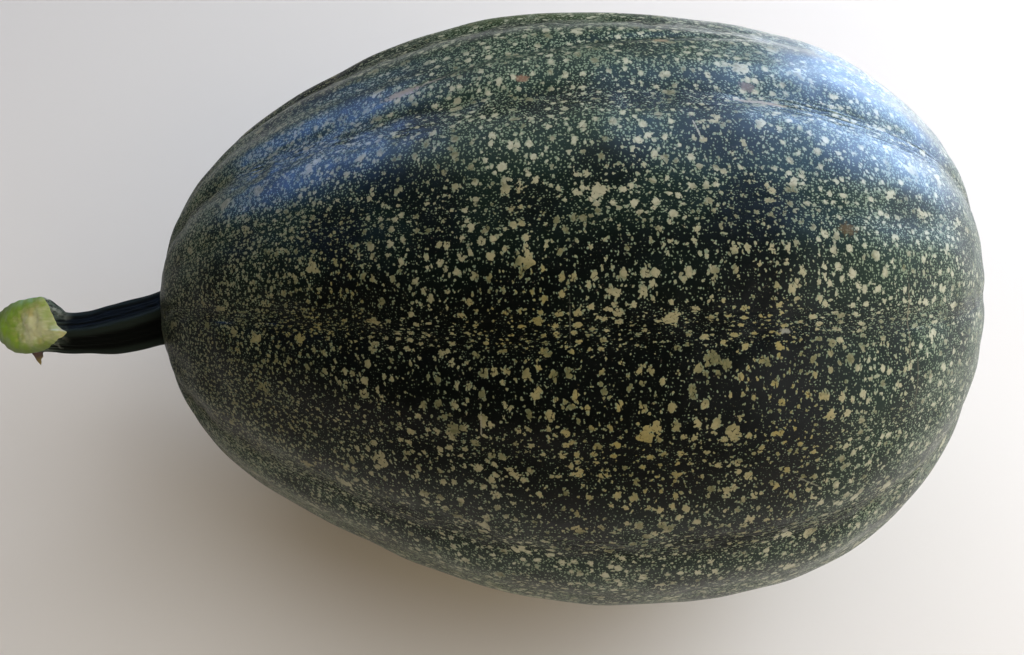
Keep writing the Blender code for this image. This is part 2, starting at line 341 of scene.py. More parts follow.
# The side that faced the ground is paler, and so is a streak on the upper side. Both ends, the
# back, the upper and the lower side are dusted with fine grains, unevenly. In some patches the
# spots are larger, yellower or more vivid, and near the stem they are small dots.
share_along = (along / HALF_LENGTH)[:, None]
streak = np.exp(-(((share_along - STREAK_MIDDLE) / STREAK_LENGTH) ** 2))
pale = near_turn(*GROUND_SIDE) + near_turn(*UPPER_STREAK) * streak
dust = near_turn(*DUSTY_UPPER) + 0.9 * smoothstep(*BLOSSOM_DUST, share_along)
dust = dust + 0.9 * near_turn(*DUSTY_LOWER) + 0.2 * smoothstep(*STEM_DUST, share_along)
dust = dust + 0.7 * near_turn(*DUSTY_BACK)
dust = dust - 0.5 * near_turn(*CLEAR_SHOULDER) * smoothstep(*CLEAR_STEM_HALF, share_along)
patches = np.pad(waves(chart_points, PATCH_LENGTH, seed=21), ((1, 1), (0, 0)), mode="edge")
regions = np.pad(waves(chart_points, REGION_LENGTH, seed=5), ((1, 1), (0, 0)), mode="edge")
clouds = np.pad(waves(chart_points, CLOUD_LENGTH, seed=8), ((1, 1), (0, 0)), mode="edge")
dust = np.clip(dust, 0.0, 1.0) * (0.65 + 0.35 * smoothstep(-0.9, 0.5, patches))
vivid = smoothstep(-1.1, 0.3, clouds) * (0.35 + 0.65 * smoothstep(*VIVID_FROM_STEM, share_along))
give_attribute(fruit.data, "pale", at_vertices(pale))
give_attribute(fruit.data, "dust", at_vertices(dust))
give_attribute(fruit.data, "rich", at_vertices(smoothstep(-1.0, 1.0, patches)))
give_attribute(fruit.data, "yellowed", at_vertices(smoothstep(-0.6, 0.6, regions)))
give_attribute(fruit.data, "vivid", at_vertices(vivid))
give_attribute(fruit.data, "dotted", at_vertices(smoothstep(*DOTTED_STEM_END, share_along)))

# The fallen blossom left a corky scar on the button.
corky = 1.0 - smoothstep(0.5 * BUTTON_TOP_RADIUS, 1.2 * BUTTON_RADIUS, radius)[:, None]
corky = np.where(share_along > 0.0, corky, 0.0)
give_attribute(fruit.data, "corky", at_vertices(corky))

# The wax is thinner on the paler side, round the stem, on the upper side's stem half and on
# the scar.
stem_half = smoothstep(*DULL_STEM_HALF, share_along)
dull = 0.8 * pale + smoothstep(*DULL_STEM_END, share_along)
dull = dull + near_turn(*DULL_SHOULDER) * stem_half + corky
give_attribute(fruit.data, "dull", at_vertices(np.clip(dull, 0.0, 1.0)))

# Colours of the rind, as the eye sees them in flat light
DEEP_GREEN = "#070a08"
LEAF_GREEN = "#152a1f"
OLIVE_GREEN = "#4c5c33"
DUST_GREEN = "#75856f"
DIM_FLECK = "#5d5f42"
CREAM_FLECK = "#918d6d"
YELLOW_FLECK = "#8c8250"
PALE_FLECK = "#afb09b"
CORK_BROWN = "#4a4438"
CORK_TAN = "#7f7868"


def linear(text):
    """An sRGB hex colour as linear red, green, blue and alpha."""
    parts = [int(text[place : place + 2], 16) / 255 for place in (1, 3, 5)]
    parts = [part / 12.92 if part <= 0.04045 else ((part + 0.055) / 1.055) ** 2.4 for part in parts]
    return (*parts, 1.0)


def node(tree, kind, *values, output=0, **settings):
    """Adds a shader node with its settings and fills its inputs in order; gives one output.

    A value is a number, a vector or a colour, or the output of another node, which is linked.
    """
    made = tree.nodes.new("ShaderNode" + kind)
    for name, setting in settings.items():
        setattr(made, name, setting)
    for socket, value in zip([socket for socket in made.inputs if socket.enabled], values):
        if isinstance(value, bpy.types.NodeSocket):
            tree.links.new(value, socket)
        else:
            socket.default_value = value
    if isinstance(output, str):
        return made.outputs[output]
    return [socket for socket in made.outputs if socket.enabled][output]


def new_material(name):
    """A material with one Principled shader, its tree and that shader."""
    made = bpy.data.materials.new(name)
    made.use_nodes = True
    return made, made.node_tree, made.node_tree.nodes["Principled BSDF"]


# Waxed rind: smooth and glossy as a thin film of wax over a dark, fine-grained skin. The eye
# sees cream flecks that are clusters of tiny grains, a broad soft highlight, and faint
# lengthwise veins.
RIND_IOR = 1.27
RIND_ROUGHNESS = (0.29, 0.42)
FULL_WAX = 0.5  # the shader's specular level where the wax is whole, and where it is thinnest
THIN_WAX = 0.03

# Sizes in mm. First the spacing of the cells, the smallest and largest half width of a fleck,
# where a negative one leaves the cell empty, and how far its edge is pushed about.
STARS = (14.5, -0.7, 2.0, 3.9)
SPOTS = (3.8, 0.42, 1.1, 1.82)
FLECKS = (1.8, -0.13, 0.46, 1.04)
RAGGED_LENGTH = 2.6  # length of the noise that does the pushing
GRAIN_SPACING = 0.68
GRAIN_PUSH = 1.56
GRAIN_SPREAD = 0.36  # how much wider the widest grains are
GRAIN_EDGE = 0.08
GRAIN_IN_FLECK = 0.56  # what a fleck adds to a grain's half width
DUST_GRAIN = 0.27  # and what the dust adds
BARE_GRAIN = -0.27
FLECK_FRINGE = (-0.5, 0.5)  # depths between which a fleck's grains grow
RICH_SPOT = 0.3  # how much wider a spot is in the richest patches than in the poorest
DUSTY_SPOT = -0.2  # what full dust, and the dots near the stem, add to a half width
DUSTY_FLECK = -0.12
DOTTED_SPOT = -0.4
DOTTED_FLECK = 0.3
STAR_ARMS = 4.4
ARM_LENGTH = 1.7
FLECK_CORE = (-0.4, 0.35)  # depths between which a grain's colour goes from green to cream
SUTURE_SHADE = (7.0, 1.5)  # distances from a suture at which the shade starts and is full
SEAM_BLEND = (0.8, 0.1)  # and the same for the plain line that hides the pattern's seam
VEIN_STRETCH = (0.5, 0.03, 0.0)  # veins are about 2 mm wide and 33 mm long
VEIN_HEIGHT = 0.04
SUTURE_VEIN_HEIGHT = 0.30
UNEVEN_LENGTH = 3.2
UNEVEN_HEIGHT = 0.06

# Shares from 0 to 1
USUAL_COVER = 0.3  # the share of the rind that grains cover, kept along the seam
LEAFY_DUST = (0.2, 1.0)  # dust at which the ground turns leaf green
PALING_DUST = (0.15, 0.8)  # and at which the flecks turn paler
SUNLESS = (0.2, 1.1)  # paleness at which the ground turns olive, and how much at most
MOST_OLIVE = 0.8
SUTURE_DARKNESS = 0.5  # in the sun, and on the ground's side
PALE_SUTURE_DARKNESS = 0.1
CHANCE_OF_VIVID = 0.5
VIVID_RANGE = (0.1, 1.3)

rind, tree, shader = new_material("waxed_speckled_rind")
chart = node(tree, "UVMap", uv_map="chart")
place = node(tree, "TexCoord", output="Object")
place_mm = node(tree, "VectorMath", place, 1 / MM, operation="SCALE")
from_suture_mm = node(tree, "Attribute", output="Fac", attribute_name="from_suture_mm")
from_seam_mm = node(tree, "Attribute", output="Fac", attribute_name="from_seam_mm")
pale = node(tree, "Attribute", output="Fac", attribute_name="pale")
dust = node(tree, "Attribute", output="Fac", attribute_name="dust")
rich = node(tree, "Attribute", output="Fac", attribute_name="rich")
yellowed = node(tree, "Attribute", output="Fac", attribute_name="yellowed")
vivid = node(tree, "Attribute", output="Fac", attribute_name="vivid")
dotted = node(tree, "Attribute", output="Fac", attribute_name="dotted")
dull = node(tree, "Attribute", output="Fac", attribute_name="dull")
corky = node(tree, "Attribute", output="Fac", attribute_name="corky")
shake = node(tree, "TexNoise", place_mm, 1 / RAGGED_LENGTH, 2.0, 0.65, output="Color")
shake = node(tree, "VectorMath", shake, (0.5, 0.5, 0.5), operation="SUBTRACT")


def shaken(reach):
    """The chart, with each place pushed aside by up to about half the reach in mm."""
    push = node(tree, "VectorMath", shake, reach, operation="SCALE")
    return node(tree, "VectorMath", chart, push, operation="ADD")


def cells(places, spacing):
    """Distance in mm to the middle of the nearest cell, and that cell's chance from 0 to 1."""
    distance = node(
        tree, "TexVoronoi", places, 1 / spacing, 0.0, 0.5, 2.0, 0.95, voronoi_dimensions="2D"
    )
    chance = node(tree, "SeparateColor", distance.node.outputs["Color"])
    return node(tree, "Math", distance, spacing, operation="MULTIPLY"), chance


def fleck_depth(spacing, smallest, largest, push):
    """How far inside a fleck each place is, in mm: its half width less the way to its middle."""
    distance, chance = cells(shaken(push), spacing)
    half = node(tree, "Math", chance, largest - smallest, smallest, operation="MULTIPLY_ADD")
    return node(tree, "Math", half, distance, operation="SUBTRACT")


# The depth inside the flecks of all three sizes. The large ones have ragged arms.
in_star = fleck_depth(*STARS)
arms = node(tree, "TexNoise", place_mm, 1 / ARM_LENGTH, 1.0)
arms = node(tree, "Math", arms, STAR_ARMS, -STAR_ARMS / 2, operation="MULTIPLY_ADD")
in_star = node(tree, "Math", in_star, arms, operation="ADD")
in_spot = fleck_depth(*SPOTS)
richer = node(tree, "Math", rich, RICH_SPOT, -RICH_SPOT / 2, operation="MULTIPLY_ADD")
in_spot = node(tree, "Math", in_spot, richer, operation="ADD")
in_spot = node(tree, "Math", dust, DUSTY_SPOT, in_spot, operation="MULTIPLY_ADD")
in_spot = node(tree, "Math", dotted, DOTTED_SPOT, in_spot, operation="MULTIPLY_ADD")
in_fleck = fleck_depth(*FLECKS)
in_fleck = node(tree, "Math", dust, DUSTY_FLECK, in_fleck, operation="MULTIPLY_ADD")
in_fleck = node(tree, "Math", dotted, DOTTED_FLECK, in_fleck, operation="MULTIPLY_ADD")
depth = node(tree, "Math", in_star, in_spot, operation="MAXIMUM")
depth = node(tree, "Math", depth, in_fleck, operation="MAXIMUM")

# Grains: wide enough to merge inside a fleck, single ones round it, and dust in some regions.
distance, chance = cells(shaken(GRAIN_PUSH), GRAIN_SPACING)
grown = node(tree, "MapRange", depth, *FLECK_FRINGE, interpolation_type="SMOOTHSTEP")
half = node(tree, "Math", grown, GRAIN_IN_FLECK, operation="MULTIPLY")
half = node(tree, "Math", chance, GRAIN_SPREAD, half, operation="MULTIPLY_ADD")
half = node(tree, "Math", dust, DUST_GRAIN, half, operation="MULTIPLY_ADD")
half = node(tree, "Math", half, BARE_GRAIN, operation="ADD")
inside = node(tree, "Math", half, distance, operation="SUBTRACT")
cover = node(
    tree, "MapRange", inside, -GRAIN_EDGE, GRAIN_EDGE, interpolation_type="SMOOTHSTEP"
)
at_seam = node(tree, "MapRange", from_seam_mm, *SEAM_BLEND, interpolation_type="SMOOTHSTEP")
cover = node(tree, "Mix", at_seam, cover, USUAL_COVER, data_type="FLOAT")

# The ground darkens in the sutures. Grains are cream in the flecks and green as dust.
leafy = node(tree, "MapRange", dust, *LEAFY_DUST, interpolation_type="SMOOTHSTEP")
ground = node(
    tree, "Mix", leafy, linear(DEEP_GREEN), linear(LEAF_GREEN), data_type="RGBA"
)
sunless = node(
    tree, "MapRange", pale, *SUNLESS, 0.0, MOST_OLIVE, interpolation_type="SMOOTHSTEP"
)
ground = node(tree, "Mix", sunless, ground, linear(OLIVE_GREEN), data_type="RGBA")
in_suture = node(
    tree, "MapRange", from_suture_mm, *SUTURE_SHADE, interpolation_type="SMOOTHSTEP"
)
shade = node(tree, "MapRange", pale, 0.1, 0.9, SUTURE_DARKNESS, PALE_SUTURE_DARKNESS)
darker = node(tree, "Math", in_suture, shade, operation="MULTIPLY")
ground = node(tree, "Mix", darker, ground, linear(DEEP_GREEN), data_type="RGBA")
bright = node(
    tree, "Mix", yellowed, linear(CREAM_FLECK), linear(YELLOW_FLECK), data_type="RGBA"
)
paler = node(tree, "MapRange", dust, *PALING_DUST, interpolation_type="SMOOTHSTEP")
bright = node(tree, "Mix", paler, bright, linear(PALE_FLECK), data_type="RGBA")
grain_chance = chance.node.outputs["Green"]
vivid = node(tree, "Math", grain_chance, CHANCE_OF_VIVID, vivid, operation="MULTIPLY_ADD")
vivid = node(tree, "MapRange", vivid, *VIVID_RANGE)
bright = node(tree, "Mix", vivid, linear(DIM_FLECK), bright, data_type="RGBA")
core = node(tree, "MapRange", depth, *FLECK_CORE, interpolation_type="SMOOTHSTEP")
grain_colour = node(tree, "Mix", core, linear(DUST_GREEN), bright, data_type="RGBA")
colour = node(tree, "Mix", cover, ground, grain_colour, data_type="RGBA")

# Marks that it got in the field, in mm and degrees: name, distance along and turn of its middle,
# length, width and slant from lengthwise, colour, and how much it covers.
MARKS = (
    ("healed scar", -45.5, 353.1, 11.0, 3.4, -7.0, "#a49c94", 0.9),
    ("the scar's tail", -37.5, 352.0, 8.0, 1.1, -12.0, "#96918a", 0.8),
    ("brown spot", -13.2, 354.8, 3.4, 2.6, 0.0, "#80644f", 0.8),
    ("tan spot on the back", 23.2, 341.7, 4.5, 2.8, 0.0, "#97876a", 0.8),
    ("rough brown patch", 43.5, 354.5, 4.4, 3.0, 10.0, "#6b6056", 0.8),
    ("corky line", 46.5, 358.0, 15.0, 1.2, 3.0, "#a19a8c", 0.8),
    ("orange brown spot", 63.3, 22.5, 4.6, 3.4, 20.0, "#4f411d", 0.85),
    ("curved scratch", 28.8, 5.4, 7.4, 0.5, 75.0, "#b5b3a4", 0.7),
    ("long scratch", 79.4, 40.0, 26.0, 0.5, 88.0, "#6f6a58", 0.6),
    ("long scratch beside it", 82.0, 52.0, 18.0, 0.4, 92.0, "#6f6a58", 0.5),
    ("short scratch", -25.8, 54.6, 6.4, 0.45, 93.0, "#8d8b7c", 0.8),
    ("faint scratch", -3.8, 37.5, 11.0, 0.35, 91.0, "#55574c", 0.6),
    ("slanting scratch", 53.7, 65.9, 9.0, 0.45, 35.0, "#7d8070", 0.7),
    ("grey nick", 46.5, 38.9, 3.2, 1.1, 0.0, "#8d8f84", 0.8),
    ("lower grey nick", 49.8, 77.8, 2.4, 1.4, 20.0, "#8d8f84", 0.8),
)
MARK_DEPTH = 8.0 * MM  # how deep a mark reaches, so that it doesn't show on the far side
FRAY_LENGTH = 0.9
FRAY_REACH = 2.2
FRAY_EDGE = (2.3, 1.7)
SCAR_FRAY = 1.8
SCAR_EDGE = (1.2, 1.6)
SCAR_STRENGTH = 0.9


def mark_frame(x, degrees, slant):
    """A place on the rind and its directions along the mark, across it and outwards."""
    mark_angle = np.interp(-x * MM, -along, angle)
    mark_turn = math.radians(degrees)
    nudge = 1e-3
    here = fruit_surface(mark_angle, mark_turn)
    lengthwise = fruit_surface(mark_angle - nudge, mark_turn) - here
    around = fruit_surface(mark_angle, mark_turn + nudge) - here
    lengthwise, around = Vector(lengthwise).normalized(), Vector(around).normalized()
    tilt = math.radians(slant)
    first = (lengthwise * math.cos(tilt) + around * math.sin(tilt)).normalized()
    outwards = lengthwise.cross(around).normalized()
    return Vector(here), Matrix((first, outwards.cross(first), outwards)).transposed()


fray = node(tree, "TexNoise", place_mm, 1 / FRAY_LENGTH, 2.0, 0.6)
for name, x, degrees, length, width, slant, tint, strength in MARKS:
    here, directions = mark_frame(x, degrees, slant)
    size = (length * MM / 2, width * MM / 2, MARK_DEPTH)
    local = node(
        tree, "Mapping", place, here, directions.to_euler(), size, vector_type="TEXTURE"
    )
    far = node(tree, "VectorMath", local, operation="LENGTH")
    frayed = node(tree, "Math", fray, FRAY_REACH, far, operation="MULTIPLY_ADD")
    covered = node(
        tree, "MapRange", frayed, *FRAY_EDGE, 0.0, strength, interpolation_type="SMOOTHSTEP"
    )
    colour = node(tree, "Mix", covered, colour, linear(tint), data_type="RGBA")

cork = node(tree, "MapRange", fray, 0.35, 0.65)
cork = node(tree, "Mix", cork, linear(CORK_BROWN), linear(CORK_TAN), data_type="RGBA")
scar = node(tree, "Math", fray, SCAR_FRAY, corky, operation="MULTIPLY_ADD")
scar = node(
    tree, "MapRange", scar, *SCAR_EDGE, 0.0, SCAR_STRENGTH, interpolation_type="SMOOTHSTEP"
)
colour = node(tree, "Mix", scar, colour, cork, data_type="RGBA")
tree.links.new(colour, shader.inputs["Base Color"])

unevenness = node(tree, "TexNoise", place_mm, 1 / UNEVEN_LENGTH, 3.0)
gloss = node(tree, "MapRange", unevenness, 0.3, 0.7, *RIND_ROUGHNESS)
tree.links.new(gloss, shader.inputs["Roughness"])
shader.inputs["IOR"].default_value = RIND_IOR
wax = node(tree, "MapRange", dull, 0.0, 1.0, FULL_WAX, THIN_WAX)
tree.links.new(wax, shader.inputs["Specular IOR Level"])

drawn_out = node(tree, "VectorMath", chart, VEIN_STRETCH, operation="MULTIPLY")
veins = node(tree, "TexNoise", drawn_out, 1.0, 2.0)
vein_height = node(
    tree, "Math", in_suture, SUTURE_VEIN_HEIGHT, VEIN_HEIGHT, operation="MULTIPLY_ADD"
)
height = node(tree, "Math", veins, vein_height, operation="MULTIPLY")
height = node(tree, "Math", unevenness, UNEVEN_HEIGHT, height, operation="MULTIPLY_ADD")
bump = node(tree, "Bump")
bump.node.inputs["Distance"].default_value = MM
tree.links.new(height, bump.node.inputs["Height"])
tree.links.new(bump, shader.inputs["Normal"])

fruit.data.materials.append(rind)
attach(fruit, "root")
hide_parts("fruit")

# The stem
# The ridged stalk that the squash hung from: a soft green rod, five-sided where it grows out of
# the fruit, which twists a little and swells at its end. It was cut through there at a slant.

# Stations down the middle of the stem: x, y and z from the fruit's centre, and mean radius
STEM_STATIONS = (
    (-126.3 * MM, 3.4 * MM, 0.0 * MM, 10.0 * MM),
    (-131.0 * MM, 1.5 * MM, -0.3 * MM, 8.2 * MM),
    (-138.0 * MM, -0.4 * MM, -0.8 * MM, 7.9 * MM),
    (-144.0 * MM, -1.3 * MM, -1.3 * MM, 7.7 * MM),
    (-150.0 * MM, -1.7 * MM, -1.9 * MM, 7.1 * MM),
    (-157.0 * MM, -1.8 * MM, -2.6 * MM, 6.2 * MM),
    (-164.6 * MM, -1.1 * MM, -3.0 * MM, 6.3 * MM),
    (-171.0 * MM, 1.4 * MM, -1.5 * MM, 8.5 * MM),
    (-179.6 * MM, 1.2 * MM, -2.0 * MM, 8.8 * MM),
    (-189.6 * MM, 1.1 * MM, -1.3 * MM, 7.2 * MM),
    (-202.6 * MM, 1.3 * MM, 0.2 * MM, 4.4 * MM),
)
RIDGES = 5
RIDGE_HEIGHT = 0.10  # share of the stem's radius
SMALL_RIDGE_HEIGHT = 0.035
FINE_RIDGE_HEIGHT = 0.012
FINE_RIDGES = 5  # for each large one
RIDGES_FADE_FROM = 0.55  # share of the way along the stem
RIDGES_GONE_AT = 0.85
STEM_TWIST = math.radians(24.0)  # over the stem's whole length
STEM_TURN = math.radians(20.0)
STEM_LUMPS = 0.07 * MM
STEM_LUMP_LENGTH = 4.0 * MM
STEM_LUMP_STRETCH = (0.35, 1.0, 1.0)  # they are drawn out along the stem
FOOT_FLARE = 0.16  # the foot spreads by this share where it meets the basin
FOOT_LENGTH = 0.9  # in stations
FOOT_SUNK = 0.8 * MM

# The knife went through the swollen end at a slant. The cut faces up, forward and away.
CUT_POINT = (-162.8 * MM, -4.5 * MM, AXIS_HEIGHT - 4.5 * MM)
CUT_NORMAL = (-0.440, -0.507, 0.741)
CUT_DOME = 1.6 * MM
CUT_BUMPS = 0.25 * MM
CUT_BUMP_LENGTH = 6.0 * MM
FINE_BUMP_SHARE = 0.3
FINE_BUMP_LENGTH = 2.2 * MM
CUT_DOME_SQUARENESS = 4  # the dome is level in the middle and falls off near the rim
SHARP_EDGE = math.radians(40.0)  # edges that bend more than this are sharp
TRIED_PLACES = 500  # along each line, to find where it meets the cut
STEM_ROWS = 150
CUT_ROWS = 40
STEM_COLUMNS = 180


def stem_path(place):
    """Middle and mean radius at a place counted in stations, on a Catmull-Rom curve."""
    stations = np.array(STEM_STATIONS)
    padded = np.vstack([2 * stations[0] - stations[1], stations, 2 * stations[-1] - stations[-2]])
    index = np.clip(place.astype(int), 0, len(stations) - 2)
    share = (place - index)[..., None]
    a, b, c, d = (padded[index + step] for step in range(4))
    curve = 2 * b + (c - a) * share + (2 * a - 5 * b + 4 * c - d) * share**2
    curve = (curve + (3 * b - a - 3 * c + d) * share**3) / 2
    return curve[..., :3], curve[..., 3]


def stem_surface(place, turn):
    """The stalk's skin: rings across the path, with ridges of three sizes as cosines of the turn.

    The ridges fade towards the swollen end, and the foot flares out where it grows from the fruit.
    The second result is how high on a large or small ridge each point is.
    """
    middle, radius = stem_path(place)
    share = place / (len(STEM_STATIONS) - 1)
    twisted = RIDGES * (turn - STEM_TURN - STEM_TWIST * share)
    ridges = RIDGE_HEIGHT * np.cos(twisted) + SMALL_RIDGE_HEIGHT * np.cos(2 * twisted)
    ridges = ridges * (1.0 - smoothstep(RIDGES_FADE_FROM, RIDGES_GONE_AT, share))
    ridges = ridges + FINE_RIDGE_HEIGHT * np.cos(FINE_RIDGES * twisted + 1.0)
    foot = np.exp(-((place / FOOT_LENGTH) ** 2))
    reach = radius * (1.0 + ridges + FOOT_FLARE * foot)
    points = np.stack(
        [
            middle[..., 0] + FOOT_SUNK * foot,
            middle[..., 1] - reach * np.sin(turn),
            middle[..., 2] + reach * np.cos(turn),
        ],
        axis=-1,
    )
    stem_lumps = waves(points * STEM_LUMP_STRETCH, STEM_LUMP_LENGTH, seed=9)
    points = points + STEM_LUMPS * stem_lumps[..., None]
    small_share = SMALL_RIDGE_HEIGHT / RIDGE_HEIGHT
    return to_row_frame(points), np.cos(twisted) + small_share * np.cos(2 * twisted)


# Each line along the stalk ends where it meets the plane of the cut.
normal = np.array(CUT_NORMAL) / np.linalg.norm(CUT_NORMAL)
stem_turn = np.linspace(0.0, 2 * np.pi, STEM_COLUMNS, endpoint=False)
tried = np.linspace(0.0, len(STEM_STATIONS) - 1.0, TRIED_PLACES)
beyond = (stem_surface(tried[:, None] + 0 * stem_turn, stem_turn)[0] - CUT_POINT) @ normal
first_out = np.argmax(beyond > 0.0, axis=0)
columns = np.arange(STEM_COLUMNS)
before, after = beyond[first_out - 1, columns], beyond[first_out, columns]
cut_place = tried[first_out - 1] + (tried[1] - tried[0]) * before / (before - after)
rows = np.linspace(0.0, 1.0, STEM_ROWS)[:, None]
skin_rings, ridge = stem_surface(rows * cut_place, stem_turn)
rim = skin_rings[-1]
middle = rim.mean(axis=0)

# The cut's face goes from the rim to the middle, domed a little, with torn bumps.
inward = np.linspace(1.0, 0.0, CUT_ROWS + 1)[1:-1, None, None]
face = middle + (rim - middle) * inward
bumps = waves(face, CUT_BUMP_LENGTH, seed=12)
bumps = CUT_BUMPS * (bumps + FINE_BUMP_SHARE * waves(face, FINE_BUMP_LENGTH, seed=3))
lift = (CUT_DOME + bumps[..., None]) * (1.0 - inward**CUT_DOME_SQUARENESS)
face = face + lift * normal
rings = np.concatenate([skin_rings, face])
low, high = np.array(cad_low), np.array(cad_high)
stalk, corner_row, corner_column = closed_grid(
    "cut_stem", np.clip(rings, low, high), skin_rings[0].mean(axis=0), face[-1].mean(axis=0)
)
first_corner = np.array([polygon.loop_start for polygon in stalk.data.polygons])
on_face = np.minimum.reduceat(corner_row, first_corner) >= STEM_ROWS - 1
stalk.data.polygons.foreach_set("material_index", on_face.astype(np.int32))
stalk.data.set_sharp_from_angle(angle=SHARP_EDGE)
on_cut = np.zeros((len(rings) - STEM_ROWS) * STEM_COLUMNS + 2)
give_attribute(stalk.data, "ridge", np.concatenate([ridge.ravel(), on_cut]))
rim_share = np.concatenate(
    [np.ones(STEM_ROWS * STEM_COLUMNS), np.repeat(inward.ravel(), STEM_COLUMNS), [1.0, 0.0]]
)
give_attribute(stalk.data, "rim_share", rim_share)

# Fresh stalk skin: nearly black, faintly waxed and finely lined along its length, with a pale
# bloom where it swells at the cut. The eye sees a dull sheen that runs along the ridges, and part
# of it is painted sheen: the ridges are coloured lighter than the grooves.
STALK_GREEN = "#0b0e0c"
# painted sheen: the ridges' lighter colour stands in for the light that catches them
STALK_RIDGE_PAINTED_SHEEN = "#222a26"
STALK_GREY = "#67756a"
STALK_BLOOM = "#b4bdb2"
# sizes in mm, and places along the fruit's axis in mm from its middle
LINE_STRETCH = (0.06, 0.9, 0.9)  # lines about 1 mm wide and 17 mm long
LINE_HEIGHT = 0.5
BLOTCH_LENGTH = 3.5
FUZZ_LENGTH = 0.7
FUZZ_HEIGHT = 0.08
GREY_FROM = (-160.0, -172.0)
# shares from 0 to 1
MOST_GREY = 0.85
STREAK_RANGE = (0.38, 0.62)
BLOOM_RANGE = (0.5, 0.66)
RIDGE_SHEEN_RANGE = (-0.4, 1.2)
STALK_ROUGHNESS = (0.55, 0.75)
STALK_IOR = 1.38
STALK_SPECULAR = 0.05

skin, tree, shader = new_material("fresh_ridged_stalk_skin")
place = node(tree, "TexCoord", output="Object")
place_mm = node(tree, "VectorMath", place, 1 / MM, operation="SCALE")
along_mm = node(tree, "SeparateXYZ", place_mm, output="X")
ridge_share = node(tree, "Attribute", output="Fac", attribute_name="ridge")
drawn_out = node(tree, "VectorMath", place_mm, LINE_STRETCH, operation="MULTIPLY")
lines = node(tree, "TexNoise", drawn_out, 1.0, 3.0)
swollen = node(
    tree, "MapRange", along_mm, *GREY_FROM, 0.0, MOST_GREY, interpolation_type="SMOOTHSTEP"
)
streaks = node(tree, "MapRange", lines, *STREAK_RANGE, interpolation_type="SMOOTHSTEP")
greyed = node(tree, "Math", swollen, streaks, operation="MULTIPLY")
blotches = node(tree, "TexNoise", place_mm, 1 / BLOTCH_LENGTH, 3.0)
bloom = node(tree, "MapRange", blotches, *BLOOM_RANGE, interpolation_type="SMOOTHSTEP")
bloom = node(tree, "Math", bloom, swollen, operation="MULTIPLY")
# Painted sheen: the ridges get a lighter colour than the grooves, standing in for the light along
# them.
raised = node(tree, "MapRange", ridge_share, *RIDGE_SHEEN_RANGE, interpolation_type="SMOOTHSTEP")
colour = node(
    tree, "Mix", raised, linear(STALK_GREEN), linear(STALK_RIDGE_PAINTED_SHEEN), data_type="RGBA"
)
colour = node(tree, "Mix", greyed, colour, linear(STALK_GREY), data_type="RGBA")
colour = node(tree, "Mix", bloom, colour, linear(STALK_BLOOM), data_type="RGBA")
tree.links.new(colour, shader.inputs["Base Color"])
gloss = node(tree, "MapRange", lines, 0.3, 0.7, *STALK_ROUGHNESS)
tree.links.new(gloss, shader.inputs["Roughness"])
shader.inputs["IOR"].default_value = STALK_IOR
shader.inputs["Specular IOR Level"].default_value = STALK_SPECULAR
fuzz = node(tree, "TexNoise", place_mm, 1 / FUZZ_LENGTH, 2.0)
height = node(tree, "Math", fuzz, FUZZ_HEIGHT, operation="MULTIPLY")
height = node(tree, "Math", lines, LINE_HEIGHT, height, operation="MULTIPLY_ADD")
bump = node(tree, "Bump")
bump.node.inputs["Distance"].default_value = MM
tree.links.new(height, bump.node.inputs["Height"])
tree.links.new(bump, shader.inputs["Normal"])
stalk.data.materials.append(skin)

# Cut flesh: moist and fibrous, cream in the middle and lime green under the skin. The eye sees
# a soft wet gloss and yellow-brown patches where it has begun to dry.
FLESH_CREAM = "#cdd0a4"
FLESH_LIME = "#87a838"
FLESH_MOSS = "#5b7030"
FLESH_DRY = "#b3a659"
# sizes in mm, places along the fruit's axis from its middle, and heights
DRY_PATCH_LENGTH = 6.0
FIBRE_STRETCH = (0.22, 0.9, 0.9)  # fibres about 1 mm wide and 5 mm long
ROUGH_LENGTH = 1.6
TIP_FROM = (-172.0, -186.0)
LEFTWARD_FROM = (-163.0, -174.0)
MOSSY_BELOW = (82.5, 78.0)
# shares from 0 to 1
DRY_RANGE = (0.5, 0.66)
MOST_DRY = 0.6
GREEN_RIM = (0.35, 1.0)  # how near the rim the green starts and is full
MOST_GREEN = 0.7
TIP_GREEN = 0.8
LEAST_LEFTWARD = 0.35
FIBRE_GREEN = 0.9
GREEN_RANGE = (0.5, 1.3)
MOSSY_RIM = (0.6, 1.0)
MOST_MOSSY = 0.8
FLESH_ROUGHNESS = 0.42
FLESH_SCATTER = 0.25  # light goes this share, and this far in metres, into the wet flesh
FLESH_DEPTH = (0.004, 0.003, 0.001)
FLESH_DEPTH_SCALE = 0.5
FIBRE_HEIGHT = 0.4
FLESH_BUMP = 0.1

flesh, tree, shader = new_material("moist_cut_stalk_flesh")
place = node(tree, "TexCoord", output="Object")
place_mm = node(tree, "VectorMath", place, 1 / MM, operation="SCALE")
along_mm = node(tree, "SeparateXYZ", place_mm, output="X")
height_mm = node(tree, "SeparateXYZ", place_mm, output="Z")
rim_near = node(tree, "Attribute", output="Fac", attribute_name="rim_share")
drawn_out = node(tree, "VectorMath", place_mm, FIBRE_STRETCH, operation="MULTIPLY")
fibres = node(tree, "TexNoise", drawn_out, 1.0, 3.0)
drying = node(tree, "TexNoise", place_mm, 1 / DRY_PATCH_LENGTH, 2.0)
dried = node(
    tree, "MapRange", drying, *DRY_RANGE, 0.0, MOST_DRY, interpolation_type="SMOOTHSTEP"
)
colour = node(tree, "Mix", dried, linear(FLESH_CREAM), linear(FLESH_DRY), data_type="RGBA")
green = node(
    tree, "MapRange", rim_near, *GREEN_RIM, 0.0, MOST_GREEN, interpolation_type="SMOOTHSTEP"
)
